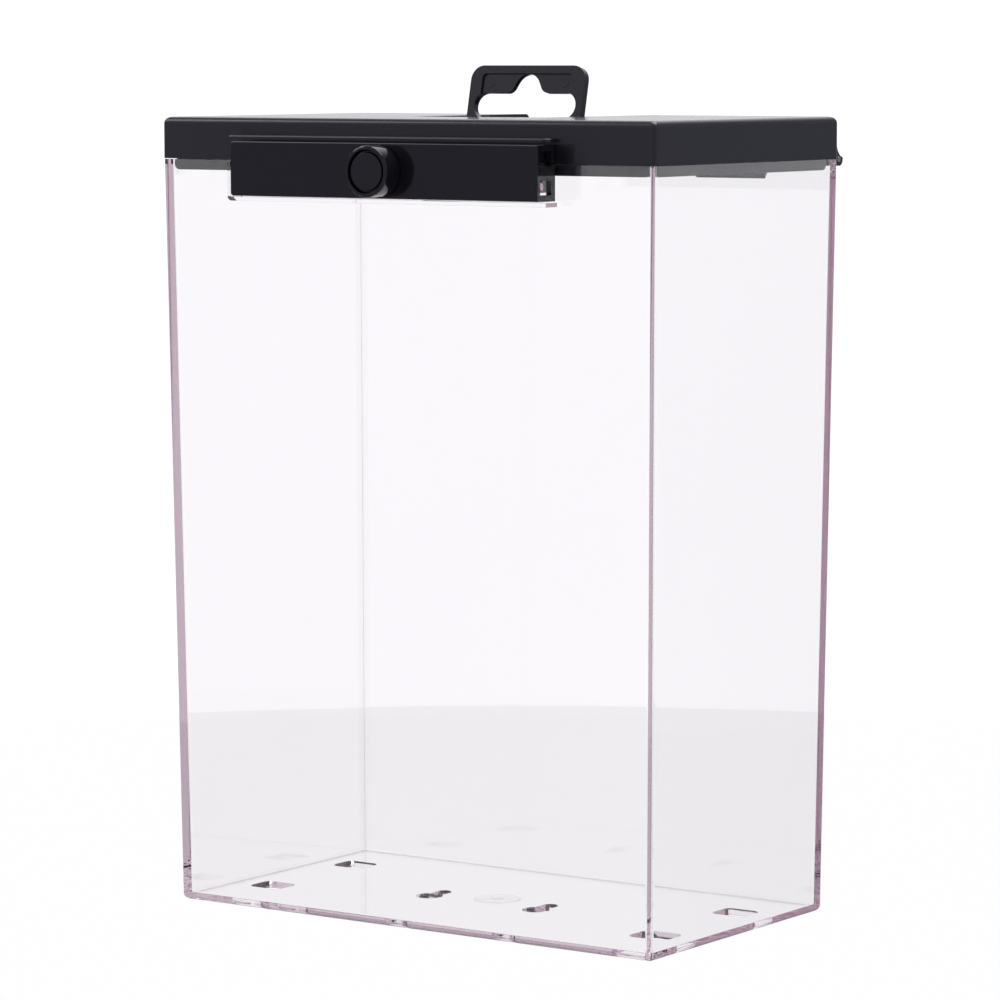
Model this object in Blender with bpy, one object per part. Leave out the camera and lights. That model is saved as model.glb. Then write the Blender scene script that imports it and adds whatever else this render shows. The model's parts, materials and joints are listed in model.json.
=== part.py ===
"""Clear lockable box with a hinged black lid, a sliding front lock bar and a folding hang tab.

The box stands on z = 0 with the origin at the centre of its base. Its front faces -Y, +X is
to the right seen from the front, and +Z is up. Every size is in metres.
"""

import math

import bmesh
import bpy
from mathutils import Matrix, Vector

MM = 0.001

# Clearances
TOUCH = 0.3 * MM            # between faces that meet on the real object
RUN = 0.2 * MM              # radial, between a pin and its bore
OVERSHOOT = 1.0 * MM        # how far a cutter runs past the face it cuts

# Clear box
BOX_WIDTH = 152.9 * MM      # outside, at the rim
BOX_DEPTH = 86.2 * MM
RIM_Z = 196.3 * MM
DRAFT = 2.33 * MM           # each wall leans in by this much from the rim to the base
WALL = 2.0 * MM
FLOOR = 1.8 * MM
BASE_EDGE_RADIUS = 1.5 * MM
BASE_INNER_RADIUS = 0.6 * MM
UPRIGHT_EDGE_RADIUS = 0.5 * MM

# Slots and keyholes in the base
SLOT_CENTRE_X = 60.6 * MM
SLOT_CENTRE_Y = 18.4 * MM
SLOT_LENGTH = 10.1 * MM     # along X
SLOT_WIDTH = 8.9 * MM       # along Y
SLOT_CORNER_RADIUS = 2.0 * MM
KEYHOLE_X = 17.1 * MM
KEYHOLE_HEAD_Y = -7.0 * MM
KEYHOLE_HEAD_RADIUS = 3.6 * MM
KEYHOLE_SLOT_RADIUS = 2.1 * MM
KEYHOLE_LENGTH = 12.6 * MM  # from the front of the head to the back of the slot

# Lid
LID_GAP = 0.2 * MM          # between the rim and the skirt
LID_OVERHANG = 0.3 * MM     # skirt face proud of the box wall
LID_HEIGHT = 10.8 * MM
LID_PLATE = 2.0 * MM
SKIRT_THICKNESS = 2.0 * MM
LID_TOP_RADIUS = 1.6 * MM
LID_CORNER_RADIUS = 1.2 * MM
LIP_THICKNESS = 1.5 * MM    # inner skirt, inside the box walls
LIP_CLEARANCE = 0.4 * MM
LIP_DEPTH = 2.9 * MM        # below the skirt
LIP_REAR_INSET = WALL + 1.6 * MM     # where the side lips stop, so that they clear the rear wall
LIP_CORNER_RADIUS = 1.5 * MM

# Rear hinge
HINGE_OFFSET_Y = 2.0 * MM   # axis behind the rear wall
HINGE_DROP_Z = 0.05 * MM    # axis below the rim
BARREL_RADIUS = 1.7 * MM
HINGE_PIN_RADIUS = 0.85 * MM
HINGE_KNUCKLES = 7          # lid and box knuckles in turn, the lid's outermost
HINGE_END_INSET = 0.5 * MM
KNUCKLE_GAP = 0.4 * MM
FLARE_HEIGHT = 6.2 * MM     # concave flare from the skirt down to the barrel
FLARE_FOOT_DEG = 20         # where the flare leaves the barrel, above the level
FLARE_STEPS = 6
GUSSET_DROP = 6.4 * MM      # clear gusset under each box knuckle

# Lock bar on the front
BAR_LENGTH = 95.35 * MM
BAR_HEIGHT = 13.9 * MM
BAR_TOP_Z = 201.3 * MM
BAR_FACE_Y = 8.67 * MM      # front of the bar ahead of the box front
BAR_BACK_GAP = 0.35 * MM
BAR_FRONT_WALL = 1.5 * MM
BAR_TOP_WALL = 1.3 * MM
BAR_BOTTOM_WALL = 1.5 * MM
BAR_END_WALL = 1.55 * MM
BAR_EDGE_RADIUS = 0.4 * MM
BAR_CORNER_RADIUS = 0.8 * MM     # at its left end, seen from the front
BAR_BACK_BORDER = 1.75 * MM
BAR_LIP_HEIGHT = 1.2 * MM
BAR_TRAVEL = 12.0 * MM
LOWER_HOLLOW_HEIGHT = 4.2 * MM   # room for the lugs
UPPER_HOLLOW_HEIGHT = 3.9 * MM   # room for the rail
WINDOW_HEIGHT = 3.6 * MM
WINDOW_BORDER = 1.6 * MM    # above and below the end windows

# Rail on the lid that the bar hangs on
RAIL_WEB = 1.6 * MM
RAIL_HEAD = 4.0 * MM        # along Y
RAIL_HEAD_HEIGHT = 2.9 * MM
RAIL_UNDER_GAP = 0.7 * MM   # under the rail, inside the bar

# Ledges above and below the bar
LEDGE_GAP = 0.5 * MM
LEDGE_HEIGHT = 1.0 * MM
LEDGE_REACH = 3.7 * MM
LEDGE_EDGE_RADIUS = 0.4 * MM
LEDGE_LEFT_OVERHANG = 4.2 * MM
FLANGE_GAP = 0.4 * MM
FLANGE_THICKNESS = 1.0 * MM
FLANGE_REACH = 4.8 * MM
FLANGE_LEFT_GAP = 2.9 * MM
FLANGE_UPRIGHT = 1.1 * MM

# Lugs on the box front, inside the bar
LUG_LENGTH = 10.0 * MM
LUG_CENTRES_X = (-35.5 * MM, 40.0 * MM)
LUG_REACH = 6.6 * MM
LUG_CLEARANCE = 0.6 * MM

# Lock cartridge: housing, cap, plunger and spring
BOSS_RADIUS = 6.5 * MM
BOSS_REACH = 6.0 * MM       # proud of the bar
BOSS_WALL = 0.95 * MM
BOSS_STEM_RADIUS = 4.2 * MM
BOSS_FLOOR = 0.9 * MM
CAP_RADIUS = 4.85 * MM
CAP_FLANGE_HEIGHT = 0.8 * MM
CAP_FACE_HEIGHT = 0.9 * MM
CAP_SINK = 0.15 * MM
PLUNGER_RADIUS = 1.2 * MM
PLUNGER_HEAD_RADIUS = 2.7 * MM
PLUNGER_HEAD = 0.8 * MM
PLUNGER_ENGAGEMENT = 0.9 * MM    # of the tip in the tongue at rest
GUIDE_WALL = 0.75 * MM
SPRING_WIDE_RADIUS = 2.5 * MM
SPRING_NARROW_RADIUS = 1.4 * MM
SPRING_WIRE_RADIUS = 0.16 * MM
SPRING_TURNS = 3

# Tongue on the lid that the plunger locks into
TONGUE_GAP = 0.4 * MM       # to the clear wall
TONGUE_THICKNESS = 1.8 * MM
TONGUE_DROP = 5.2 * MM
TONGUE_MARGIN = 2.6 * MM

# Hang tab, its axle and its seat in the lid
TAB_WIDTH = 36.1 * MM
TAB_HEIGHT = 15.7 * MM      # from the axle to the top edge
TAB_THICKNESS = 2.0 * MM
TAB_CORNER_RADIUS = 3.8 * MM
TAB_AXIS_Y = 11.85 * MM
TAB_AXIS_BELOW_TOP = 2.4 * MM
TAB_LEAN_DEG = 12.3
TAB_FOOT_RADIUS = 1.9 * MM
EURO_SLOT_WIDTH = 32.2 * MM
EURO_SLOT_LOW = 1.6 * MM    # above the axle
EURO_SLOT_HIGH = 8.5 * MM
EURO_NOTCH_HIGH = 13.5 * MM
EURO_NOTCH_RADIUS = 4.0 * MM
EURO_NOTCH_FLANK_DEG = 28.0      # of the notch's sides from the upright
EURO_NOTCH_FILLET = 2.4 * MM     # where the notch runs into the long slot
WEB_DEPTH = 0.5 * MM        # of the sunk web over the slot
WEB_SIDE_BORDER = 3.6 * MM
WEB_TOP_BORDER = 2.1 * MM
WEB_CORNER_RADIUS = 1.3 * MM
AXLE_RADIUS = 0.8 * MM
SEAT_SIDE_CLEARANCE = 0.5 * MM
SEAT_WALL = 2.6 * MM
SEAT_FLOOR = 1.5 * MM
CHANNEL_WIDTH = 40.0 * MM
CHANNEL_START_Y = -10.0 * MM
CHANNEL_DEPTH = 0.9 * MM    # at the rear edge

# Places that follow from the sizes above
FRONT_Y = -BOX_DEPTH / 2
REAR_Y = BOX_DEPTH / 2
RIGHT_X = BOX_WIDTH / 2
SKIRT_Z = RIM_Z + LID_GAP
LID_TOP_Z = SKIRT_Z + LID_HEIGHT
PLATE_Z = LID_TOP_Z - LID_PLATE
HINGE_AXIS = Vector((0, REAR_Y + HINGE_OFFSET_Y, RIM_Z - HINGE_DROP_Z))
HINGE_HALF = RIGHT_X - HINGE_END_INSET

BAR_LEFT = -BAR_LENGTH / 2
BAR_RIGHT = BAR_LENGTH / 2
BAR_FRONT = FRONT_Y - BAR_FACE_Y
BAR_BACK = FRONT_Y - LID_OVERHANG - BAR_BACK_GAP
BAR_BOTTOM_Z = BAR_TOP_Z - BAR_HEIGHT
BAR_MID_Z = (BAR_TOP_Z + BAR_BOTTOM_Z) / 2
BAR_HOLLOW_FRONT = BAR_FRONT + BAR_FRONT_WALL
BAR_BORDER_Y = BAR_BACK - BAR_BACK_BORDER
LOWER_HOLLOW_Z = BAR_BOTTOM_Z + BAR_BOTTOM_WALL
LOWER_HOLLOW = (LOWER_HOLLOW_Z, LOWER_HOLLOW_Z + LOWER_HOLLOW_HEIGHT)
UPPER_HOLLOW_Z = BAR_TOP_Z - BAR_TOP_WALL
UPPER_HOLLOW = (UPPER_HOLLOW_Z - UPPER_HOLLOW_HEIGHT, UPPER_HOLLOW_Z)

RAIL_HEAD_Y = BAR_BORDER_Y - TOUCH
RAIL_Z = UPPER_HOLLOW[0] + RAIL_UNDER_GAP
TONGUE_BACK = FRONT_Y - TONGUE_GAP
TONGUE_FRONT = TONGUE_BACK - TONGUE_THICKNESS

PLUNGER_TIP_Y = TONGUE_FRONT + PLUNGER_ENGAGEMENT
PLUNGER_BORE = PLUNGER_RADIUS + RUN
GUIDE_RADIUS = PLUNGER_BORE + GUIDE_WALL
BOSS_FRONT = BAR_FRONT - BOSS_REACH
BOSS_BORE = BOSS_RADIUS - BOSS_WALL
BOSS_FLOOR_Y = BAR_FRONT - BOSS_FLOOR
CAP_BACK_Y = BOSS_FRONT + CAP_SINK + CAP_FACE_HEIGHT + CAP_FLANGE_HEIGHT

TAB_AXIS = Vector((0, TAB_AXIS_Y, LID_TOP_Z - TAB_AXIS_BELOW_TOP))
SEAT_HALF = TAB_WIDTH / 2 + SEAT_SIDE_CLEARANCE
SEAT_FRONT = TAB_AXIS_Y - TAB_FOOT_RADIUS - TOUCH
SEAT_REAR = TAB_AXIS_Y + TAB_HEIGHT + 2 * TOUCH
SEAT_Z = TAB_AXIS.z - TAB_FOOT_RADIUS - TOUCH
SEAT_OUT_Z = SEAT_Z - SEAT_FLOOR


# ---------------------------------------------------------------- helpers

def clear_scene():
    for obj in list(bpy.data.objects):
        bpy.data.objects.remove(obj, do_unlink=True)


def material(name, colour, roughness, metallic=0.0, alpha=1.0):
    made = bpy.data.materials.new(name)
    made.use_nodes = True
    shader = made.node_tree.nodes["Principled BSDF"]
    shader.inputs["Base Color"].default_value = (*colour, 1.0)
    shader.inputs["Roughness"].default_value = roughness
    shader.inputs["Metallic"].default_value = metallic
    shader.inputs["Alpha"].default_value = alpha
    made.diffuse_color = (*colour, alpha)
    return made


def axis_empty(name, at, parent=None):
    """An empty on a joint's axis, which the moving pieces hang from."""
    empty = bpy.data.objects.new(name, None)
    bpy.context.scene.collection.objects.link(empty)
    empty.parent = parent
    empty.location = at - (parent_place(parent))
    empty["place"] = tuple(at)
    return empty


def parent_place(parent):
    return Vector(parent["place"]) if parent else Vector((0, 0, 0))


def prism(outline, low, high, along):
    """A closed outline of 2-D points, drawn out from low to high along one axis.

    The outline's two coordinates are (x, y) for along "Z", (x, z) for "Y" and (y, z) for "X".
    """
    place = {
        "X": lambda u, v, w: (w, u, v),
        "Y": lambda u, v, w: (u, w, v),
        "Z": lambda u, v, w: (u, v, w),
    }[along]
    bm = bmesh.new()
    near, far = [[bm.verts.new(place(u, v, w)) for u, v in outline] for w in (low, high)]
    bm.faces.new(near)
    bm.faces.new(far)
    for i in range(len(near)):
        j = (i + 1) % len(near)
        bm.faces.new((near[i], near[j], far[j], far[i]))
    bmesh.ops.recalc_face_normals(bm, faces=bm.faces)
    return bm


def block(low, high):
    """A box between two corners."""
    (x0, y0, z0), (x1, y1, z1) = low, high
    return prism([(x0, y0), (x1, y0), (x1, y1), (x0, y1)], z0, z1, "Z")


def arc(centre, radius, start_deg, end_deg, steps):
    """Points on an arc, both ends included."""
    turns = [math.radians(start_deg + (end_deg - start_deg) * i / steps) for i in range(steps + 1)]
    return [(centre[0] + radius * math.cos(t), centre[1] + radius * math.sin(t)) for t in turns]


def circle(centre, radius, steps=24):
    return arc(centre, radius, 0, 360 - 360 / steps, steps - 1)


def rounded_rectangle(low, high, radius, steps=4):
    """A rectangle's outline, anticlockwise, with one radius at its four corners."""
    (x0, y0), (x1, y1) = low, high
    centres = ((x1 - radius, y1 - radius), (x0 + radius, y1 - radius),
               (x0 + radius, y0 + radius), (x1 - radius, y0 + radius))
    outline = []
    for turn, centre in enumerate(centres):
        outline += arc(centre, radius, 90 * turn, 90 * turn + 90, steps)
    return outline


def fillet_levels(radius, steps=4):
    """How far in and how far up a rounded lower edge runs, from its foot; one level if sharp."""
    if radius == 0:
        return [(0.0, 0.0)]
    turns = [math.radians(90 * i / steps) for i in range(steps + 1)]
    return [(radius * (1 - math.sin(t)), radius * (1 - math.cos(t))) for t in turns]


def stacked(levels, half_x, half_y, corner_radius):
    """A closed form made of rounded rectangles, one for each (inset, z) level."""
    bm = bmesh.new()
    rings = []
    for inset, z in levels:
        x, y = half_x - inset, half_y - inset
        outline = rounded_rectangle((-x, -y), (x, y), corner_radius)
        rings.append([bm.verts.new((u, v, z)) for u, v in outline])
    bm.faces.new(rings[0])
    bm.faces.new(rings[-1])
    for below, above in zip(rings, rings[1:]):
        for i in range(len(below)):
            j = (i + 1) % len(below)
            bm.faces.new((below[i], below[j], above[j], above[i]))
    bmesh.ops.recalc_face_normals(bm, faces=bm.faces)
    return bm


def bevel_edges(bm, chosen, radius, segments=3):
    edges = [edge for edge in bm.edges if chosen(edge)]
    bmesh.ops.bevel(bm, geom=edges, offset=radius, segments=segments, profile=0.5,
                    affect="EDGES", clamp_overlap=True)


def merged(*parts):
    """Several meshes in one, for cutters that don't touch each other."""
    whole = bmesh.new()
    for part in parts:
        scratch = bpy.data.meshes.new("scratch")
        part.to_mesh(scratch)
        part.free()
        whole.from_mesh(scratch)
        bpy.data.meshes.remove(scratch)
    return whole


def link_mesh(name, bm, parent):
    """Turn a world-space mesh into an object whose origin is its parent empty's."""
    place = parent_place(parent)
    bmesh.ops.translate(bm, verts=bm.verts, vec=-place)
    mesh = bpy.data.meshes.new(name)
    bm.to_mesh(mesh)
    bm.free()
    obj = bpy.data.objects.new(name, mesh)
    bpy.context.scene.collection.objects.link(obj)
    obj.parent = parent
    return obj


def solid(name, base, look, parent=None, steps=(), smooth_deg=30):
    """A named piece: a base mesh and its Boolean steps, in order."""
    obj = link_mesh(name, base, parent)
    obj.data.materials.append(look)
    obj.data.shade_smooth()
    obj.data.set_sharp_from_angle(angle=math.radians(smooth_deg))
    for number, (operation, tool) in enumerate(steps):
        cutter = link_mesh(f"{name}_tool_{number}", tool, parent)
        cutter.hide_render = True
        cutter.display_type = "WIRE"
        cutter.hide_set(True)
        modifier = obj.modifiers.new(f"{operation.lower()}_{number}", "BOOLEAN")
        modifier.operation = operation
        modifier.solver = "EXACT"
        modifier.object = cutter
    return obj


# ---------------------------------------------------------------- clear box

def lean(z):
    """How far a wall stands in from its rim line at height z."""
    return DRAFT * (1 - z / RIM_Z)


def drafted_block(inset, low_z, high_z, base_radius=0.0):
    """The box's drafted form, offset inwards, with rounded uprights and a rounded base edge."""
    levels = [(round_in, low_z + up) for round_in, up in fillet_levels(base_radius)]
    levels.append((0.0, high_z))
    return stacked([(lean(z) + inset + round_in, z) for round_in, z in levels],
                   RIGHT_X, REAR_Y, UPRIGHT_EDGE_RADIUS)


def keyhole(x):
    """A screw head's hole that narrows to a slot towards the rear."""
    tip_y = KEYHOLE_HEAD_Y - KEYHOLE_HEAD_RADIUS + KEYHOLE_LENGTH - KEYHOLE_SLOT_RADIUS
    meet = math.degrees(math.asin(KEYHOLE_SLOT_RADIUS / KEYHOLE_HEAD_RADIUS))
    head = arc((x, KEYHOLE_HEAD_Y), KEYHOLE_HEAD_RADIUS, 90 + meet, 450 - meet, 16)
    tip = arc((x, tip_y), KEYHOLE_SLOT_RADIUS, 0, 180, 8)
    return prism(head + tip, -OVERSHOOT, FLOOR + OVERSHOOT, "Z")


def base_holes():
    holes = [keyhole(side * KEYHOLE_X) for side in (-1, 1)]
    for side_x in (-1, 1):
        for side_y in (-1, 1):
            x = side_x * SLOT_CENTRE_X
            y = side_y * SLOT_CENTRE_Y
            outline = rounded_rectangle((x - SLOT_LENGTH / 2, y - SLOT_WIDTH / 2),
                                        (x + SLOT_LENGTH / 2, y + SLOT_WIDTH / 2),
                                        SLOT_CORNER_RADIUS)
            holes.append(prism(outline, -OVERSHOOT, FLOOR + OVERSHOOT, "Z"))
    return merged(*holes)


def wall_root(z):
    """A Y just inside the front wall at height z, where what grows on it is rooted."""
    return FRONT_Y + lean(z) + WALL / 2


def front_flange():
    """The ledge under the bar and its upright at the bar's left end, as one L-shaped prism."""
    top = BAR_BOTTOM_Z - FLANGE_GAP
    low = top - FLANGE_THICKNESS
    left = BAR_LEFT - FLANGE_LEFT_GAP - FLANGE_UPRIGHT
    corner = FLANGE_THICKNESS + TOUCH
    outline = arc((left + corner, low + corner), corner, 180, 270, 4)
    outline += [(BAR_RIGHT, low), (BAR_RIGHT, top), (left + FLANGE_UPRIGHT, top),
                (left + FLANGE_UPRIGHT, RIM_Z - TOUCH), (left, RIM_Z - TOUCH)]
    return prism(outline, FRONT_Y - FLANGE_REACH, wall_root(low), "Y")


def lugs():
    low = LOWER_HOLLOW[0] + LUG_CLEARANCE
    high = LOWER_HOLLOW[1] - LUG_CLEARANCE
    return [block((x - LUG_LENGTH / 2, FRONT_Y - LUG_REACH, low),
                  (x + LUG_LENGTH / 2, wall_root(low), high)) for x in LUG_CENTRES_X]


def knuckle_spans(first):
    """The X spans of every second knuckle, from number first."""
    pitch = 2 * HINGE_HALF / HINGE_KNUCKLES
    spans = []
    for i in range(first, HINGE_KNUCKLES, 2):
        low = -HINGE_HALF + i * pitch + (KNUCKLE_GAP / 2 if i > 0 else 0)
        high = -HINGE_HALF + (i + 1) * pitch - (KNUCKLE_GAP / 2 if i < HINGE_KNUCKLES - 1 else 0)
        spans.append((low, high))
    return spans


def box_knuckle(low, high):
    """A clear barrel carried on a gusset that flares out of the rear wall."""
    centre = (HINGE_AXIS.y, HINGE_AXIS.z)
    root = REAR_Y - WALL / 2
    barrel = arc(centre, BARREL_RADIUS, -60, 180, 16)
    outline = barrel + [(root, centre[1]), (root, centre[1] - GUSSET_DROP)]
    return prism(outline, low, high, "X")


def hinge_bore():
    centre = (HINGE_AXIS.y, HINGE_AXIS.z)
    return prism(circle(centre, HINGE_PIN_RADIUS + RUN, 16), -HINGE_HALF - OVERSHOOT,
                 HINGE_HALF + OVERSHOOT, "X")


def make_clear_box(look):
    outer = drafted_block(0, 0, RIM_Z, BASE_EDGE_RADIUS)
    steps = [
        ("DIFFERENCE", base_holes()),
        ("DIFFERENCE", drafted_block(WALL, FLOOR, RIM_Z + OVERSHOOT, BASE_INNER_RADIUS)),
        ("UNION", merged(front_flange(), *lugs(), *[box_knuckle(*s) for s in knuckle_spans(1)])),
        ("DIFFERENCE", hinge_bore()),
    ]
    return solid("clear_box", outer, look, steps=steps)


# ---------------------------------------------------------------- lid

def lid_shell():
    """The lid's outside: straight skirt and rounded top edge."""
    rounded = [(round_in, LID_TOP_Z - up) for round_in, up in fillet_levels(LID_TOP_RADIUS)]
    return stacked([(0.0, SKIRT_Z)] + rounded[::-1], RIGHT_X + LID_OVERHANG, REAR_Y + LID_OVERHANG,
                   LID_CORNER_RADIUS)


def lid_lip():
    """The inner skirt: a front lip and two side lips that locate the lid in the box.

    They are made thick, and the lid's hollow trims their inner faces.
    """
    out = WALL + LIP_CLEARANCE
    inn = out + LIP_THICKNESS + OVERSHOOT
    low = SKIRT_Z - LIP_DEPTH
    high = SKIRT_Z + LIP_DEPTH
    half_x = RIGHT_X - out
    front = prism(rounded_rectangle((-half_x, low), (half_x, high), LIP_CORNER_RADIUS),
                  FRONT_Y + out, FRONT_Y + inn, "Y")
    sides = []
    for side in (-1, 1):
        outline = rounded_rectangle((FRONT_Y + out, low), (REAR_Y - LIP_REAR_INSET, high),
                                    LIP_CORNER_RADIUS)
        span = sorted((side * half_x, side * (RIGHT_X - inn)))
        sides.append(prism(outline, span[0], span[1], "X"))
    return front, sides


def lid_hollow():
    """What is open under the lid's plate, down through the lips."""
    inn = WALL + LIP_CLEARANCE + LIP_THICKNESS
    rear = REAR_Y + LID_OVERHANG - SKIRT_THICKNESS
    return block((-RIGHT_X + inn, FRONT_Y + inn, SKIRT_Z - LIP_DEPTH - OVERSHOOT),
                 (RIGHT_X - inn, rear, PLATE_Z))


def hinge_flare(low, high):
    """A lid knuckle: the barrel and the concave flare that runs into the skirt."""
    centre = (HINGE_AXIS.y, HINGE_AXIS.z)
    back = REAR_Y + LID_OVERHANG
    root = back - SKIRT_THICKNESS / 2
    barrel_back = centre[0] + BARREL_RADIUS * math.cos(math.radians(FLARE_FOOT_DEG))
    barrel_z = centre[1] + BARREL_RADIUS * math.sin(math.radians(FLARE_FOOT_DEG))
    top = centre[1] + FLARE_HEIGHT
    sweep = []
    for i in range(1, FLARE_STEPS + 1):
        t = math.radians(90 * i / FLARE_STEPS)
        sweep.append((back + (barrel_back - back) * (1 - math.sin(t)),
                      barrel_z + (top - barrel_z) * (1 - math.cos(t))))
    barrel = arc(centre, BARREL_RADIUS, -180, FLARE_FOOT_DEG, 14)
    outline = barrel + sweep + [(root, top), (root, SKIRT_Z + TOUCH)]
    return prism(outline, low, high, "X")


def knuckle_notch(low, high):
    """Room in the lid's skirt for a box knuckle and its swing."""
    reach = BARREL_RADIUS + TOUCH
    side = KNUCKLE_GAP / 2
    return block((low - side, HINGE_AXIS.y - reach - SKIRT_THICKNESS, SKIRT_Z - OVERSHOOT),
                 (high + side, HINGE_AXIS.y + 2 * reach, HINGE_AXIS.z + FLARE_HEIGHT))


def bar_rail():
    """The hook-shaped rail that the lock bar slides on."""
    left = BAR_LEFT + BAR_END_WALL
    right = BAR_RIGHT - BAR_END_WALL - TOUCH
    head_top = RAIL_Z + RAIL_HEAD_HEIGHT
    root = FRONT_Y + SKIRT_THICKNESS / 2
    outline = [(root, RAIL_Z), (root, RAIL_Z + RAIL_WEB), (RAIL_HEAD_Y, RAIL_Z + RAIL_WEB),
               (RAIL_HEAD_Y, head_top), (RAIL_HEAD_Y - RAIL_HEAD, head_top),
               (RAIL_HEAD_Y - RAIL_HEAD, RAIL_Z)]
    return prism(outline, left, right, "X")


def bar_ledge():
    """The visor over the bar, with a rounded right-hand end."""
    low = BAR_TOP_Z + LEDGE_GAP
    root = FRONT_Y + SKIRT_THICKNESS / 2
    reach = FRONT_Y - LEDGE_REACH
    left = BAR_LEFT - LEDGE_LEFT_OVERHANG
    radius = LEDGE_REACH / 2
    outline = [(left, root), (left, reach)]
    outline += arc((BAR_RIGHT - radius, reach + radius), radius, -90, 0, 4)
    outline += [(BAR_RIGHT, root)]
    high = low + LEDGE_HEIGHT
    bm = prism(outline, low, high, "Z")
    bevel_edges(bm, lambda e: all(v.co.z > high - TOUCH and v.co.y < root - TOUCH for v in e.verts),
                LEDGE_EDGE_RADIUS)
    return bm


def tongue():
    """The keeper plate in front of the clear wall that the plunger reaches into."""
    low_x = -PLUNGER_BORE - TONGUE_MARGIN
    high_x = PLUNGER_BORE + BAR_TRAVEL + TONGUE_MARGIN
    low = SKIRT_Z - TONGUE_DROP
    high = SKIRT_Z + SKIRT_THICKNESS / 2
    root = FRONT_Y + SKIRT_THICKNESS / 2
    outline = [(TONGUE_FRONT, low), (TONGUE_BACK, low), (TONGUE_BACK, SKIRT_Z + TOUCH),
               (root, SKIRT_Z + TOUCH), (root, high), (TONGUE_FRONT, high)]
    return prism(outline, low_x, high_x, "X")


def tongue_slot():
    """A slot as long as the bar's travel, because the bar carries the plunger along it."""
    outline = arc((BAR_TRAVEL, BAR_MID_Z), PLUNGER_BORE, -90, 90, 8)
    outline += arc((0, BAR_MID_Z), PLUNGER_BORE, 90, 270, 8)
    return prism(outline, TONGUE_FRONT - OVERSHOOT, TONGUE_BACK + OVERSHOOT, "Y")


def tab_seat():
    half = SEAT_HALF + SEAT_WALL
    return block((-half, SEAT_FRONT - SEAT_FLOOR, SEAT_OUT_Z),
                 (half, SEAT_REAR + SEAT_FLOOR, LID_TOP_Z - LID_PLATE / 2))


def tab_pocket():
    return block((-SEAT_HALF, SEAT_FRONT, SEAT_Z), (SEAT_HALF, SEAT_REAR, LID_TOP_Z + OVERSHOOT))


def axle_bore():
    half = SEAT_HALF + SEAT_WALL + OVERSHOOT
    return prism(circle((TAB_AXIS.y, TAB_AXIS.z), AXLE_RADIUS + RUN, 16), -half, half, "X")


def tab_channel():
    """The shallow ramp in the lid's top that a folded tab lies in."""
    rear = REAR_Y + LID_OVERHANG
    slope = CHANNEL_DEPTH / (rear - CHANNEL_START_Y)
    high = LID_TOP_Z + OVERSHOOT
    past_front = CHANNEL_START_Y - OVERSHOOT / slope / 2
    past_rear = rear + OVERSHOOT
    outline = [(past_front, LID_TOP_Z + slope * (CHANNEL_START_Y - past_front)),
               (past_rear, LID_TOP_Z - slope * (past_rear - CHANNEL_START_Y)),
               (past_rear, high), (past_front, high)]
    return prism(outline, -CHANNEL_WIDTH / 2, CHANNEL_WIDTH / 2, "X")


def make_lid(look, axis):
    lip_front, lip_sides = lid_lip()
    steps = [
        ("DIFFERENCE", tab_channel()),
        ("UNION", lip_front),
        ("UNION", merged(*lip_sides)),
        ("DIFFERENCE", lid_hollow()),
        ("DIFFERENCE", merged(*[knuckle_notch(*s) for s in knuckle_spans(1)])),
        ("UNION", merged(*[hinge_flare(*s) for s in knuckle_spans(0)], bar_rail(), bar_ledge())),
        ("UNION", merged(tongue(), tab_seat())),
        ("DIFFERENCE", merged(tongue_slot(), tab_pocket(), hinge_bore())),
        ("DIFFERENCE", axle_bore()),
    ]
    return solid("lid", lid_shell(), look, parent=axis, steps=steps)


# ---------------------------------------------------------------- lock bar and cartridge

def left_end_along_y(first, second):
    return max(first.co.x, second.co.x) < BAR_LEFT + TOUCH and abs(first.co.y - second.co.y) > TOUCH


def bar_body():
    bm = block((BAR_LEFT, BAR_FRONT, BAR_BOTTOM_Z), (BAR_RIGHT, BAR_BACK, BAR_TOP_Z))
    bevel_edges(bm, lambda e: left_end_along_y(*e.verts), BAR_CORNER_RADIUS, 4)
    bevel_edges(bm, lambda e: all(v.co.y < BAR_FRONT + TOUCH for v in e.verts), BAR_EDGE_RADIUS, 2)
    return bm


def bar_hollows():
    """The rail's channel and the lugs' channel, both open at the bar's left end."""
    left = BAR_LEFT - OVERSHOOT
    right = BAR_RIGHT - BAR_END_WALL
    upper_back = BAR_BORDER_Y
    rail_room = block((left, BAR_HOLLOW_FRONT, UPPER_HOLLOW[0]), (right, upper_back, UPPER_HOLLOW[1]))
    web_room = block((left, upper_back - OVERSHOOT, UPPER_HOLLOW[0]),
                     (right, BAR_BACK + OVERSHOOT, UPPER_HOLLOW[1] - BAR_LIP_HEIGHT))
    lug_room = block((left, BAR_HOLLOW_FRONT, LOWER_HOLLOW[0]),
                     (right, BAR_BACK + OVERSHOOT, LOWER_HOLLOW[1]))
    tongue_room = block((left, BAR_BORDER_Y - 2 * TOUCH, LOWER_HOLLOW[1] - OVERSHOOT),
                        (right, BAR_BACK + OVERSHOOT, UPPER_HOLLOW[0] + OVERSHOOT))
    return rail_room, web_room, lug_room, tongue_room


def lug_notches():
    """Openings in the bar's bottom wall, long enough for each lug at any place of the bar."""
    notches = []
    for x in LUG_CENTRES_X:
        low = max(x - LUG_LENGTH / 2 - BAR_TRAVEL - LUG_CLEARANCE, BAR_LEFT - OVERSHOOT)
        high = x + LUG_LENGTH / 2 + LUG_CLEARANCE
        notches.append(block((low, BAR_HOLLOW_FRONT, BAR_BOTTOM_Z - OVERSHOOT),
                             (high, BAR_BACK + OVERSHOOT, LOWER_HOLLOW[0] + OVERSHOOT)))
    return notches


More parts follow.
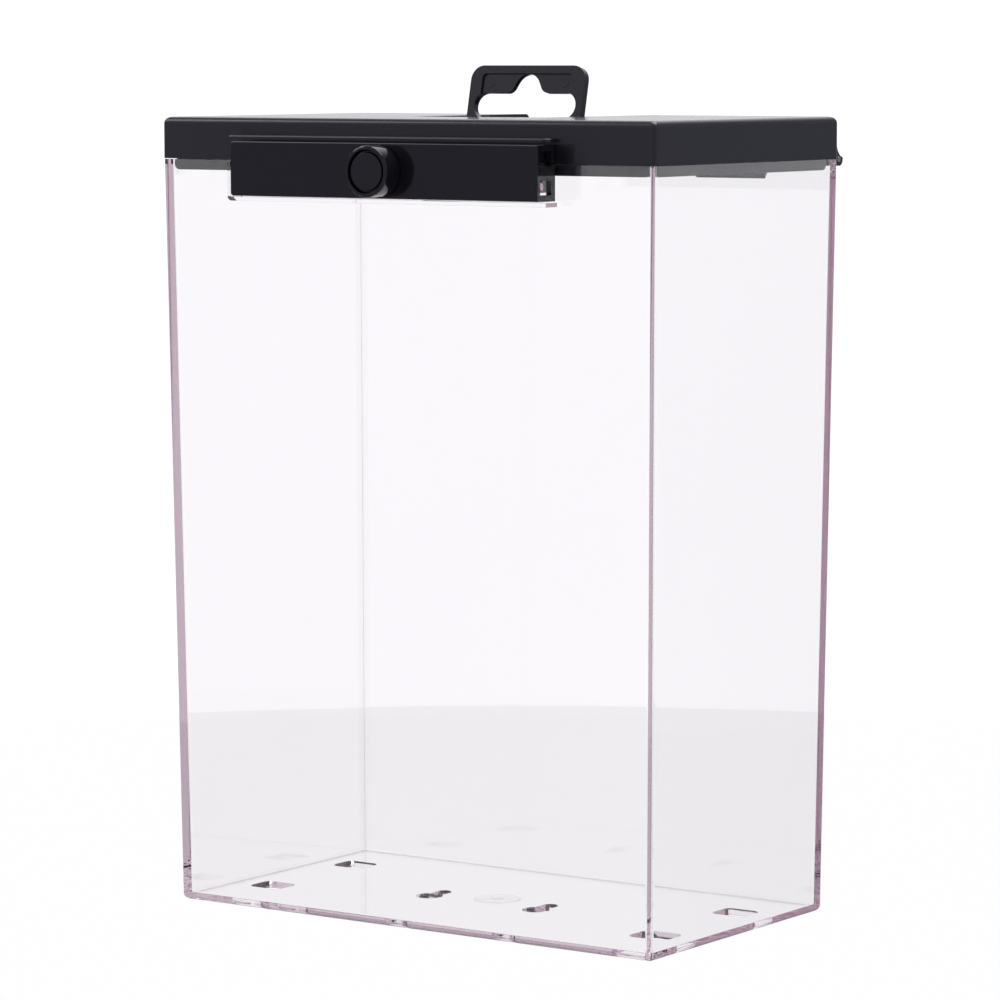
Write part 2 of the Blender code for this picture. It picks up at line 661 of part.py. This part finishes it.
def end_windows():
    """The two openings in the bar's right-hand end."""
    windows = []
    for low in (BAR_BOTTOM_Z + WINDOW_BORDER, BAR_TOP_Z - WINDOW_BORDER - WINDOW_HEIGHT):
        windows.append(block((BAR_RIGHT - BAR_END_WALL - OVERSHOOT, BAR_HOLLOW_FRONT, low),
                             (BAR_RIGHT + OVERSHOOT, BAR_BORDER_Y, low + WINDOW_HEIGHT)))
    return windows


def round_bar(radius, front, back, steps=48):
    """A cylinder on the plunger's axis."""
    return prism(circle((0, BAR_MID_Z), radius, steps), front, back, "Y")


def plunger_guide():
    """The tube behind the bar's front wall, flattened to pass under the rail."""
    flat = UPPER_HOLLOW[0] - BAR_MID_Z
    rise = math.degrees(math.asin(min(1.0, flat / GUIDE_RADIUS)))
    outline = arc((0, BAR_MID_Z), GUIDE_RADIUS, 180 - rise, 360 + rise, 20)
    return prism(outline, BAR_HOLLOW_FRONT - BAR_FRONT_WALL / 2, BAR_BORDER_Y - 2 * TOUCH, "Y")


def make_lock_bar(look, axis):
    rail_room, web_room, lug_room, tongue_room = bar_hollows()
    steps = [
        ("DIFFERENCE", merged(rail_room, lug_room)),
        ("DIFFERENCE", web_room),
        ("DIFFERENCE", tongue_room),
        ("DIFFERENCE", merged(*lug_notches())),
        ("DIFFERENCE", merged(*end_windows())),
        ("UNION", plunger_guide()),
        ("DIFFERENCE", round_bar(PLUNGER_BORE, BAR_FRONT, BAR_BACK)),
        ("DIFFERENCE", round_bar(BOSS_STEM_RADIUS + TOUCH, BAR_FRONT - OVERSHOOT,
                                 BAR_FRONT + BAR_FRONT_WALL / 2 + TOUCH)),
    ]
    return solid("lock_bar", bar_body(), look, parent=axis, steps=steps)


def make_lock_housing(look, axis):
    """The round cup on the bar's face, with a stem seated in the bar."""
    cup = round_bar(BOSS_RADIUS, BOSS_FRONT, BAR_FRONT - TOUCH)
    bevel_edges(cup, lambda e: all(v.co.y < BOSS_FRONT + TOUCH for v in e.verts), BAR_EDGE_RADIUS, 2)
    stem_back = BAR_FRONT + BAR_FRONT_WALL / 2
    steps = [
        ("UNION", round_bar(BOSS_STEM_RADIUS, BAR_FRONT - BOSS_FLOOR, stem_back)),
        ("DIFFERENCE", round_bar(BOSS_BORE, BOSS_FRONT - OVERSHOOT, BOSS_FLOOR_Y)),
        ("DIFFERENCE", round_bar(PLUNGER_BORE, BOSS_FLOOR_Y - OVERSHOOT, stem_back + OVERSHOOT, 24)),
    ]
    return solid("lock_housing", cup, look, parent=axis, steps=steps)


def make_lock_cap(look, axis):
    """The disc that closes the housing, with a groove around its face."""
    face_front = BOSS_FRONT + CAP_SINK
    face_back = face_front + CAP_FACE_HEIGHT
    face = round_bar(CAP_RADIUS, face_front, face_back + CAP_FLANGE_HEIGHT / 2)
    bevel_edges(face, lambda e: all(v.co.y < face_front + TOUCH / 2 for v in e.verts), TOUCH, 2)
    flange = round_bar(BOSS_BORE - TOUCH, face_back, CAP_BACK_Y)
    return solid("lock_cap", face, look, parent=axis, steps=[("UNION", flange)])


def make_plunger(look, axis):
    """The steel plunger: a headed pin that stands in the tongue's slot."""
    head_back = BOSS_FLOOR_Y - TOUCH
    pin = round_bar(PLUNGER_RADIUS, head_back - PLUNGER_HEAD / 2, PLUNGER_TIP_Y, 24)
    head = round_bar(PLUNGER_HEAD_RADIUS, head_back - PLUNGER_HEAD, head_back, 24)
    return solid("plunger", pin, look, parent=axis, steps=[("UNION", head)])


def make_spring(look, axis):
    """The conical spring between the cap and the plunger's head, whose turns nest when it shuts."""
    front = CAP_BACK_Y + TOUCH + SPRING_WIRE_RADIUS
    back = BOSS_FLOOR_Y - TOUCH - PLUNGER_HEAD - TOUCH - SPRING_WIRE_RADIUS
    place = parent_place(axis)
    curve = bpy.data.curves.new("plunger_spring", "CURVE")
    curve.dimensions = "3D"
    curve.bevel_depth = SPRING_WIRE_RADIUS
    curve.bevel_resolution = 1
    curve.use_fill_caps = True
    steps = 14 * SPRING_TURNS
    spline = curve.splines.new("POLY")
    spline.points.add(steps)
    for i, point in enumerate(spline.points):
        along = i / steps
        turn = 2 * math.pi * SPRING_TURNS * along
        radius = SPRING_WIDE_RADIUS + (SPRING_NARROW_RADIUS - SPRING_WIDE_RADIUS) * along
        at = Vector((radius * math.cos(turn), front + (back - front) * along,
                     BAR_MID_Z + radius * math.sin(turn))) - place
        point.co = (*at, 1.0)
    obj = bpy.data.objects.new("plunger_spring", curve)
    bpy.context.scene.collection.objects.link(obj)
    obj.parent = axis
    curve.materials.append(look)
    return obj


# ---------------------------------------------------------------- hang tab

def tab_outline():
    """The tab's plate, in its own plane: x across, z up from the axle."""
    half = TAB_WIDTH / 2
    outline = [(-half, 0), (half, 0)]
    outline += arc((half - TAB_CORNER_RADIUS, TAB_HEIGHT - TAB_CORNER_RADIUS), TAB_CORNER_RADIUS, 0, 90, 8)
    outline += arc((-half + TAB_CORNER_RADIUS, TAB_HEIGHT - TAB_CORNER_RADIUS), TAB_CORNER_RADIUS,
                   90, 180, 8)
    return outline


def euro_notch():
    """The notch's outline from right to left: a round crown on leaning flanks with filleted feet."""
    flank = math.radians(EURO_NOTCH_FLANK_DEG)
    crown_z = EURO_NOTCH_HIGH - EURO_NOTCH_RADIUS
    tangent_x = EURO_NOTCH_RADIUS * math.cos(flank)
    tangent_z = crown_z + EURO_NOTCH_RADIUS * math.sin(flank)
    foot_z = EURO_SLOT_HIGH + EURO_NOTCH_FILLET
    down = (tangent_z + EURO_NOTCH_FILLET * math.sin(flank) - foot_z) / math.cos(flank)
    foot_x = tangent_x + down * math.sin(flank) + EURO_NOTCH_FILLET * math.cos(flank)
    right = arc((foot_x, foot_z), EURO_NOTCH_FILLET, -90, -180 + EURO_NOTCH_FLANK_DEG, 6)
    left = arc((-foot_x, foot_z), EURO_NOTCH_FILLET, -EURO_NOTCH_FLANK_DEG, -90, 6)
    crown = arc((0, crown_z), EURO_NOTCH_RADIUS, EURO_NOTCH_FLANK_DEG, 180 - EURO_NOTCH_FLANK_DEG, 16)
    return right + crown + left


def euro_slot():
    """The hanger slot's outline: a long round-ended slot with a raised notch over its middle."""
    end = (EURO_SLOT_HIGH - EURO_SLOT_LOW) / 2
    reach = EURO_SLOT_WIDTH / 2 - end
    middle = (EURO_SLOT_LOW + EURO_SLOT_HIGH) / 2
    right_end = arc((reach, middle), end, -90, 90, 14)
    left_end = arc((-reach, middle), end, 90, 270, 14)
    return right_end + euro_notch() + left_end


def web_outline():
    """The sunk web over the slot, inside the tab's raised border."""
    half = TAB_WIDTH / 2 - WEB_SIDE_BORDER
    top = TAB_HEIGHT - WEB_TOP_BORDER
    low = EURO_SLOT_HIGH - 2 * WEB_CORNER_RADIUS
    return rounded_rectangle((-half, low), (half, top), WEB_CORNER_RADIUS)


def leaning(bm):
    """Tilt a mesh made in the tab's own plane back about the axle and put it in its place."""
    tilt = Matrix.Rotation(math.radians(-TAB_LEAN_DEG), 4, "X")
    bmesh.ops.transform(bm, matrix=Matrix.Translation(TAB_AXIS) @ tilt, verts=bm.verts)
    return bm


def make_hang_tab(look, axis):
    half_t = TAB_THICKNESS / 2
    half = TAB_WIDTH / 2
    plate = leaning(prism(tab_outline(), -half_t, half_t, "Y"))
    foot = leaning(prism(circle((0, 0), TAB_FOOT_RADIUS, 20), -half, half, "X"))
    slot = leaning(prism(euro_slot(), -half_t - OVERSHOOT, half_t + OVERSHOOT, "Y"))
    recess = leaning(prism(web_outline(), -half_t - OVERSHOOT, -half_t + WEB_DEPTH, "Y"))
    bore = leaning(prism(circle((0, 0), AXLE_RADIUS + RUN, 16), -half - OVERSHOOT,
                         half + OVERSHOOT, "X"))
    steps = [("UNION", foot), ("DIFFERENCE", slot), ("DIFFERENCE", recess), ("DIFFERENCE", bore)]
    return solid("hang_tab", plate, look, parent=axis, steps=steps)


def make_tab_axle(look, parent):
    half = SEAT_HALF + SEAT_WALL - TOUCH
    pin = prism(circle((TAB_AXIS.y, TAB_AXIS.z), AXLE_RADIUS, 16), -half, half, "X")
    return solid("tab_axle", pin, look, parent=parent)


def make_hinge_pin(look):
    pin = prism(circle((HINGE_AXIS.y, HINGE_AXIS.z), HINGE_PIN_RADIUS, 16), -HINGE_HALF, HINGE_HALF, "X")
    return solid("hinge_pin", pin, look)


# ---------------------------------------------------------------- the whole

def build():
    clear_scene()
    clear_plastic = material("clear_plastic", (0.93, 0.90, 0.92), 0.05, alpha=0.35)
    satin_black = material("satin_black_plastic", (0.022, 0.022, 0.028), 0.45)
    gloss_black = material("gloss_black_plastic", (0.018, 0.018, 0.022), 0.2)
    steel = material("steel", (0.62, 0.60, 0.60), 0.3, metallic=1.0)

    lid_axis = axis_empty("lid_axis", HINGE_AXIS)
    bar_axis = axis_empty("bar_axis", Vector((0, BAR_FRONT, BAR_MID_Z)), lid_axis)
    plunger_axis = axis_empty("plunger_axis", Vector((0, PLUNGER_TIP_Y, BAR_MID_Z)), bar_axis)
    tab_axis = axis_empty("tab_axis", TAB_AXIS, lid_axis)

    make_clear_box(clear_plastic)
    make_hinge_pin(steel)
    make_lid(satin_black, lid_axis)
    make_tab_axle(steel, lid_axis)
    make_hang_tab(satin_black, tab_axis)
    make_lock_bar(gloss_black, bar_axis)
    make_lock_housing(gloss_black, bar_axis)
    make_lock_cap(gloss_black, bar_axis)
    make_spring(steel, bar_axis)
    make_plunger(steel, plunger_axis)


build()
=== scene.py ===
"""Looks of the clear lockable box: fine edges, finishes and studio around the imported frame."""

import json
import math

import bmesh
import bpy
from mathutils import Matrix, Vector


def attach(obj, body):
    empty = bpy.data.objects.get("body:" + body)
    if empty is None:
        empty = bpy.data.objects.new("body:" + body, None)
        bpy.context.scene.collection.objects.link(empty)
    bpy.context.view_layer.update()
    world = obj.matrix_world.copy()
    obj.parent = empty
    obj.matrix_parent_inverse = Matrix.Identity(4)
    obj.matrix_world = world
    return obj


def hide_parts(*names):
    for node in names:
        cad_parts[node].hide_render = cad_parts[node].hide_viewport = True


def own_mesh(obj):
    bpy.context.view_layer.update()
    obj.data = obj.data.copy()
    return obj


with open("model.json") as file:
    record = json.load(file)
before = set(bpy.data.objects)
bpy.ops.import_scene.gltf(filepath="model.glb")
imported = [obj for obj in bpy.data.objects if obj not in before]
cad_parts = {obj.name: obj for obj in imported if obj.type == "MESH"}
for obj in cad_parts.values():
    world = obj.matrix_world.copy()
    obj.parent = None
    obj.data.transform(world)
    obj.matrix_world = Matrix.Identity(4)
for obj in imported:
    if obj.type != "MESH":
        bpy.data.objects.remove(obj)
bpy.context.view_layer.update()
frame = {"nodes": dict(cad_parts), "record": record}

MM = 0.001
NODES = frame["nodes"]
RECORD_JOINTS = frame["record"]["behaviour"]["joints"]

# Camera: the three-quarter view from the box's front right, a little above its lid.
CAMERA_AT = (0.66625, -0.9527, 0.2240)
CAMERA_YAW_DEG = 34.95
CAMERA_PITCH_DEG = 5.73              # below the horizon
CAMERA_ROLL_DEG = -0.096
LENS = 160.8
SENSOR_WIDTH = 36.0
CLIP_START = 0.01
CLIP_END = 50.0

# Softboxes: name, place, point aimed at, width and height, power.
MID_BOX = (0, 0, 0.12)
LID_TOP = (0, 0, 0.2)
SOFTBOXES = (
    ("key_left", (-1.5, -0.8, 1.3), MID_BOX, (0.9, 0.9), 7),
    ("fill_right", (1.5, 0.1, 0.7), MID_BOX, (0.8, 1.2), 0.5),
    ("top", (0.1, 0.5, 1.6), LID_TOP, (1.4, 1.2), 16),
)

# Surround. Reflections see the room tones, from the near side round to the white backdrop.
BACKDROP_WAY = (-0.57, 0.81, 0.12)   # towards the backdrop, away from the main camera
DIM_TONE_AT = 0.6                    # how far round towards the backdrop, from 0 to 1
BACKDROP_TONE_AT = 0.86
ROOM_TONES = ((0.27, 0.27, 0.33, 1), (0.13, 0.13, 0.17, 1), (1.0, 1.0, 1.04, 1))
ROOM_STRENGTH = 1.05
WHITE = (0.985, 0.985, 1.0, 1)       # seen directly or through the plastic
WHITE_STRENGTH = 1.1
WHITE_STRENGTH_DEEP = 0.8
WHITE_DIMS_FROM = 4                  # surfaces passed

# Floor: a round pale table whose far edge shows faintly through the box.
FLOOR_RADIUS = 0.363
FLOOR_SEGMENTS = 160
FLOOR_DROP = 0.05 * MM               # below the box's underside
FLOOR_TONE = (0.995, 0.995, 1.01, 1)
FLOOR_TONE_MIRRORED = (0.2, 0.2, 0.24, 1)
FLOOR_STRENGTH = 1.0
FLOOR_STRENGTH_DEEP = 0.7
FLOOR_DIMS_FROM = 2                  # surfaces passed

DIMMED_BY = 12                       # surfaces passed when surround and floor are at their dimmest
BOUNCES = 96                         # light runs the width of the box inside its rear wall

# Meshes.
WELD_DISTANCE = 2e-6                 # metres
FLAT_DEG = 0.4                       # faces that meet at less than this are one flat
HARD_EDGE_DEG = 32
COIL_EDGE_DEG = 60                   # the spring's wire has facets steeper than HARD_EDGE_DEG
EDGE_SEGMENTS = 2
FLAT_WEIGHT = 100

# Moulding marks: low discs on the hang tab and on the base.
MARK_SEGMENTS = 40
MARK_SHARP_DEG = 40
MARK_LIFT = 0.03 * MM                # of a mark above the surface that it stands on
TAB_LEAN_DEG = 12.3
WEB_FACE_Y = -0.5 * MM               # of the tab's sunk web, in the tab's own plane
EJECTOR_X = (("left", -12.0 * MM), ("right", 11.5 * MM))
EJECTOR_Z = 11.2 * MM                # above the tab's axle
EJECTOR_RADIUS = 1.3 * MM
EJECTOR_HEIGHT = 0.07 * MM
BASE_THICKNESS = 1.8 * MM
GATE_PAD_RADIUS = 6.3 * MM
GATE_PAD_HEIGHT = 0.08 * MM
GATE_PIP_RADIUS = 1.7 * MM
GATE_PIP_HEIGHT = 0.15 * MM


# ---------------------------------------------------------------- camera and studio

def add_camera():
    data = bpy.data.cameras.new("camera")
    data.lens = LENS
    data.sensor_width = SENSOR_WIDTH
    data.clip_start = CLIP_START
    data.clip_end = CLIP_END
    camera = bpy.data.objects.new("camera", data)
    bpy.context.scene.collection.objects.link(camera)
    yaw = Matrix.Rotation(math.radians(CAMERA_YAW_DEG), 4, "Z")
    pitch = Matrix.Rotation(math.pi / 2 - math.radians(CAMERA_PITCH_DEG), 4, "X")
    roll = Matrix.Rotation(math.radians(CAMERA_ROLL_DEG), 4, "Z")
    camera.matrix_world = Matrix.Translation(CAMERA_AT) @ (yaw @ pitch @ roll)
    bpy.context.scene.camera = camera


def add_softbox(name, at, target, size, power):
    data = bpy.data.lights.new(name, "AREA")
    data.shape = "RECTANGLE"
    data.size, data.size_y = size
    data.energy = power
    light = bpy.data.objects.new(name, data)
    bpy.context.scene.collection.objects.link(light)
    aim = (Vector(target) - Vector(at)).to_track_quat("-Z", "Y")
    light.matrix_world = Matrix.Translation(at) @ aim.to_matrix().to_4x4()


def dimmed_by_depth(tree, path, clear, deep, start):
    """A brightness that falls for light that has bounced along inside a clear wall."""
    fall = tree.nodes.new("ShaderNodeMapRange")
    fall.inputs["From Min"].default_value = start
    fall.inputs["From Max"].default_value = DIMMED_BY
    fall.inputs["To Min"].default_value = clear
    fall.inputs["To Max"].default_value = deep
    tree.links.new(path.outputs["Ray Depth"], fall.inputs["Value"])
    return fall.outputs["Result"]


def add_world():
    """A white surround as seen directly or through the plastic.

    Reflections see a studio instead: a white backdrop on the far side and a dim room on the near one.
    """
    world = bpy.data.worlds.new("studio")
    bpy.context.scene.world = world
    world.use_nodes = True
    tree = world.node_tree
    tree.nodes.clear()
    path = tree.nodes.new("ShaderNodeLightPath")
    either = tree.nodes.new("ShaderNodeMath")
    either.operation = "MAXIMUM"
    tree.links.new(path.outputs["Is Camera Ray"], either.inputs[0])
    tree.links.new(path.outputs["Is Transmission Ray"], either.inputs[1])
    place = tree.nodes.new("ShaderNodeTexCoord")
    facing = tree.nodes.new("ShaderNodeVectorMath")
    facing.operation = "DOT_PRODUCT"
    facing.inputs[1].default_value = BACKDROP_WAY
    tree.links.new(place.outputs["Generated"], facing.inputs[0])
    ramp = tree.nodes.new("ShaderNodeValToRGB")
    stops = ramp.color_ramp.elements
    stops[1].position = BACKDROP_TONE_AT
    stops.new(DIM_TONE_AT)
    for stop, tone in zip(stops, ROOM_TONES):
        stop.color = tone
    tree.links.new(facing.outputs["Value"], ramp.inputs["Fac"])
    room = tree.nodes.new("ShaderNodeBackground")
    room.inputs["Strength"].default_value = ROOM_STRENGTH
    tree.links.new(ramp.outputs["Color"], room.inputs["Color"])
    straight = dimmed_by_depth(tree, path, WHITE_STRENGTH, WHITE_STRENGTH_DEEP, WHITE_DIMS_FROM)
    white = tree.nodes.new("ShaderNodeBackground")
    white.inputs["Color"].default_value = WHITE
    tree.links.new(straight, white.inputs["Strength"])
    choose = tree.nodes.new("ShaderNodeMixShader")
    tree.links.new(either.outputs[0], choose.inputs[0])
    tree.links.new(room.outputs[0], choose.inputs[1])
    tree.links.new(white.outputs[0], choose.inputs[2])
    out = tree.nodes.new("ShaderNodeOutputWorld")
    tree.links.new(choose.outputs[0], out.inputs["Surface"])


def add_floor():
    bm = bmesh.new()
    bmesh.ops.create_circle(bm, cap_ends=True, segments=FLOOR_SEGMENTS, radius=FLOOR_RADIUS)
    mesh = bpy.data.meshes.new("floor")
    bm.to_mesh(mesh)
    bm.free()
    floor = bpy.data.objects.new("floor", mesh)
    bpy.context.scene.collection.objects.link(floor)
    floor.location.z = -FLOOR_DROP
    made = bpy.data.materials.new("pale_floor")
    made.use_nodes = True
    tree = made.node_tree
    tree.nodes.clear()
    path = tree.nodes.new("ShaderNodeLightPath")
    glow = tree.nodes.new("ShaderNodeEmission")
    glow.inputs["Color"].default_value = FLOOR_TONE
    strength = dimmed_by_depth(tree, path, FLOOR_STRENGTH, FLOOR_STRENGTH_DEEP, FLOOR_DIMS_FROM)
    tree.links.new(strength, glow.inputs["Strength"])
    mirrored = tree.nodes.new("ShaderNodeEmission")
    mirrored.inputs["Color"].default_value = FLOOR_TONE_MIRRORED
    choose = tree.nodes.new("ShaderNodeMixShader")
    tree.links.new(path.outputs["Is Reflection Ray"], choose.inputs[0])
    tree.links.new(glow.outputs[0], choose.inputs[1])
    tree.links.new(mirrored.outputs[0], choose.inputs[2])
    out = tree.nodes.new("ShaderNodeOutputMaterial")
    tree.links.new(choose.outputs[0], out.inputs["Surface"])
    mesh.materials.append(made)


def add_studio():
    add_world()
    add_floor()
    for softbox in SOFTBOXES:
        add_softbox(*softbox)
    bpy.context.scene.view_settings.view_transform = "Standard"
    cycles = bpy.context.scene.cycles
    cycles.max_bounces = BOUNCES
    cycles.transmission_bounces = BOUNCES
    cycles.glossy_bounces = BOUNCES


# ---------------------------------------------------------------- materials

class Nodes:
    """Short calls for building one material's node tree."""

    def __init__(self, name):
        self.material = bpy.data.materials.new(name)
        self.material.use_nodes = True
        self.tree = self.material.node_tree
        self.shader = self.tree.nodes["Principled BSDF"]
        place = self.tree.nodes.new("ShaderNodeTexCoord")
        self.place = place.outputs["Object"]

    def noise(self, scale, detail=3.0, roughness=0.5):
        node = self.tree.nodes.new("ShaderNodeTexNoise")
        self.tree.links.new(self.place, node.inputs["Vector"])
        node.inputs["Scale"].default_value = scale
        node.inputs["Detail"].default_value = detail
        node.inputs["Roughness"].default_value = roughness
        return node.outputs["Fac"]

    def remap(self, source, span, into):
        node = self.tree.nodes.new("ShaderNodeMapRange")
        self.tree.links.new(source, node.inputs["Value"])
        for socket, value in zip(("From Min", "From Max", "To Min", "To Max"), (*span, *into)):
            node.inputs[socket].default_value = value
        return node.outputs["Result"]

    def blend(self, factor, first, second):
        node = self.tree.nodes.new("ShaderNodeMix")
        node.data_type = "RGBA"
        self.tree.links.new(factor, node.inputs["Factor"])
        node.inputs["A"].default_value = (*first, 1)
        node.inputs["B"].default_value = (*second, 1)
        return node.outputs["Result"]

    def bump(self, height, distance, strength):
        node = self.tree.nodes.new("ShaderNodeBump")
        node.inputs["Distance"].default_value = distance
        node.inputs["Strength"].default_value = strength
        self.tree.links.new(height, node.inputs["Height"])
        self.tree.links.new(node.outputs["Normal"], self.shader.inputs["Normal"])

    def drive(self, socket, source):
        self.tree.links.new(source, self.shader.inputs[socket])

    def set(self, **values):
        for key, value in values.items():
            self.shader.inputs[key.replace("_", " ")].default_value = value


DUST = (0.05, 0.05, 0.055)


def satin_black():
    """Moulded black plastic with a fine spark-eroded grain, a little dust and handling marks."""
    m = Nodes("satin_black")
    grain = m.noise(scale=2600, detail=2.0)
    clouds = m.noise(scale=38, detail=4.0)
    specks = m.remap(m.noise(scale=1500, detail=0.0), span=(0.8, 0.84), into=(0.0, 0.6))
    m.drive("Base Color", m.blend(specks, (0.012, 0.012, 0.0165), DUST))
    m.drive("Roughness", m.remap(clouds, span=(0.3, 0.7), into=(0.34, 0.46)))
    m.set(IOR=1.49, Coat_Weight=0.6, Coat_Roughness=0.12)
    m.bump(grain, distance=0.06 * MM, strength=0.5)
    return m.material


def gloss_black():
    """Smooth black plastic with faint wipe marks."""
    m = Nodes("gloss_black")
    smears = m.noise(scale=60, detail=5.0, roughness=0.65)
    specks = m.remap(m.noise(scale=1300, detail=0.0), span=(0.84, 0.88), into=(0.0, 0.2))
    m.drive("Base Color", m.blend(specks, (0.0105, 0.0105, 0.0145), DUST))
    m.drive("Roughness", m.remap(smears, span=(0.3, 0.75), into=(0.07, 0.15)))
    m.set(IOR=1.5)
    m.bump(m.noise(scale=420, detail=2.0), distance=0.03 * MM, strength=0.35)
    return m.material


def polished_black():
    """The cap and housing: the glossiest black, with faint turning marks."""
    m = Nodes("polished_black")
    cloudy = m.blend(m.noise(scale=120), (0.009, 0.009, 0.012), (0.014, 0.014, 0.018))
    m.drive("Base Color", cloudy)
    m.drive("Roughness", m.remap(m.noise(scale=90, detail=4.0), span=(0.3, 0.7), into=(0.04, 0.09)))
    m.set(IOR=1.52)
    return m.material


def steel():
    """Drawn steel, a little uneven in colour and sheen."""
    m = Nodes("steel")
    uneven = m.blend(m.noise(scale=300, detail=4.0), (0.5, 0.47, 0.47), (0.68, 0.65, 0.65))
    m.drive("Base Color", uneven)
    m.drive("Roughness", m.remap(m.noise(scale=800, detail=2.0), span=(0.3, 0.7), into=(0.22, 0.38)))
    m.set(Metallic=1.0)
    return m.material


def clear_plastic():
    """Clear polycarbonate: sharp refraction, a faint tint along long paths, and light smears."""
    m = Nodes("clear_plastic")
    m.set(Transmission_Weight=1.0, IOR=1.585)
    cloudy = m.blend(m.noise(scale=14, detail=2.0), (0.985, 0.98, 0.984), (0.995, 0.992, 0.995))
    m.drive("Base Color", cloudy)
    smears = m.noise(scale=22, detail=5.0, roughness=0.7)
    m.drive("Roughness", m.remap(smears, span=(0.55, 0.8), into=(0.0, 0.035)))
    tint = m.tree.nodes.new("ShaderNodeVolumeAbsorption")
    tint.inputs["Color"].default_value = (0.86, 0.78, 0.83, 1)
    tint.inputs["Density"].default_value = 28.0
    out = m.tree.nodes["Material Output"]
    m.tree.links.new(tint.outputs[0], out.inputs["Volume"])
    return m.material


# ---------------------------------------------------------------- pieces

def copy_of(node, name):
    """A new mesh object with a CAD node's shape, its flat regions joined into single faces."""
    mesh = NODES[node].data.copy()
    mesh.materials.clear()
    bm = bmesh.new()
    bm.from_mesh(mesh)
    bmesh.ops.remove_doubles(bm, verts=bm.verts, dist=WELD_DISTANCE)
    flat = math.radians(FLAT_DEG)
    bmesh.ops.dissolve_limit(bm, angle_limit=flat, verts=bm.verts, edges=bm.edges)
    bm.to_mesh(mesh)
    bm.free()
    piece = bpy.data.objects.new(name, mesh)
    bpy.context.scene.collection.objects.link(piece)
    return piece


def finish_edges(piece, edge, hard_deg):
    """Small even radii on every hard edge, with clean shading across the flats."""
    piece.data.shade_smooth()
    piece.data.set_sharp_from_angle(angle=math.radians(hard_deg))
    bevel = piece.modifiers.new("edge_radius", "BEVEL")
    bevel.width = edge
    bevel.segments = EDGE_SEGMENTS
    bevel.limit_method = "ANGLE"
    bevel.angle_limit = math.radians(hard_deg)
    bevel.miter_outer = "MITER_ARC"
    bevel.use_clamp_overlap = True
    flats = piece.modifiers.new("flat_faces", "WEIGHTED_NORMAL")
    flats.mode = "FACE_AREA"
    flats.weight = FLAT_WEIGHT
    flats.keep_sharp = True


def refined(node, body, look, edge, hard_deg=HARD_EDGE_DEG):
    """The visual piece that stands for one CAD node, with its body, material and edges."""
    piece = copy_of(node, f"{node}_fine")
    piece.data.materials.append(look)
    finish_edges(piece, edge, hard_deg)
    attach(piece, body)
    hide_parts(node)
    return piece


def small_disc(name, at, tilt_deg, radius, height, look, body):
    """A round moulding mark: a low disc with a chamfered rim, standing on the surface at its place."""
    rim = height / 2
    profile = [(radius, 0.0), (radius, rim), (radius - rim, height)]
    bm = bmesh.new()
    rings = []
    for r, z in profile:
        turns = (2 * math.pi * i / MARK_SEGMENTS for i in range(MARK_SEGMENTS))
        rings.append([bm.verts.new((r * math.cos(t), r * math.sin(t), z)) for t in turns])
    for low, high in zip(rings, rings[1:]):
        for i in range(MARK_SEGMENTS):
            j = (i + 1) % MARK_SEGMENTS
            bm.faces.new((low[i], low[j], high[j], high[i]))
    bm.faces.new(rings[-1])
    bm.faces.new(rings[0][::-1])
    mesh = bpy.data.meshes.new(name)
    bm.to_mesh(mesh)
    bm.free()
    mesh.shade_smooth()
    mesh.set_sharp_from_angle(angle=math.radians(MARK_SHARP_DEG))
    mesh.materials.append(look)
    piece = bpy.data.objects.new(name, mesh)
    bpy.context.scene.collection.objects.link(piece)
    piece.matrix_world = Matrix.Translation(at) @ Matrix.Rotation(math.radians(tilt_deg), 4, "X")
    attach(piece, body)


def record_joint(name):
    return next(joint for joint in RECORD_JOINTS if joint["name"] == name)


def build_pieces(black, clear):
    bar_black = gloss_black()
    knob_black = polished_black()
    metal = steel()
    refined("clear_box", "box", clear, edge=0.12 * MM)
    refined("lid", "lid", black, edge=0.15 * MM)
    refined("hang_tab", "tab", black, edge=0.25 * MM)
    refined("lock_bar", "slider", bar_black, edge=0.15 * MM)
    refined("lock_housing", "slider", knob_black, edge=0.12 * MM)
    refined("lock_cap", "slider", knob_black, edge=0.08 * MM)
    refined("hinge_pin", "box", metal, edge=0.1 * MM)
    refined("tab_axle", "lid", metal, edge=0.1 * MM)
    refined("plunger", "plunger", metal, edge=0.08 * MM)
    spring = refined("plunger_spring", "slider", metal, edge=0.01 * MM, hard_deg=COIL_EDGE_DEG)
    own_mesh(spring)


def add_moulding_marks(black, clear):
    """Ejector marks on the tab's sunk web, and the gate mark at the middle of the base."""
    axle = Vector(record_joint("tab_hinge")["pos_m"])
    lean = Matrix.Rotation(math.radians(-TAB_LEAN_DEG), 4, "X")
    for side, x in EJECTOR_X:
        at = axle + lean @ Vector((x, WEB_FACE_Y, EJECTOR_Z))
        small_disc(f"ejector_mark_{side}", at, 90 - TAB_LEAN_DEG, EJECTOR_RADIUS, EJECTOR_HEIGHT, black,
                   "tab")
    pad_at = (0, 0, BASE_THICKNESS + MARK_LIFT)
    small_disc("gate_pad", pad_at, 0, GATE_PAD_RADIUS, GATE_PAD_HEIGHT, clear, "box")
    pip_at = (0, 0, pad_at[2] + GATE_PAD_HEIGHT + MARK_LIFT)
    small_disc("gate_pip", pip_at, 0, GATE_PIP_RADIUS, GATE_PIP_HEIGHT, clear, "box")


add_camera()
add_studio()
satin_look = satin_black()
clear_look = clear_plastic()
build_pieces(satin_look, clear_look)
add_moulding_marks(satin_look, clear_look)
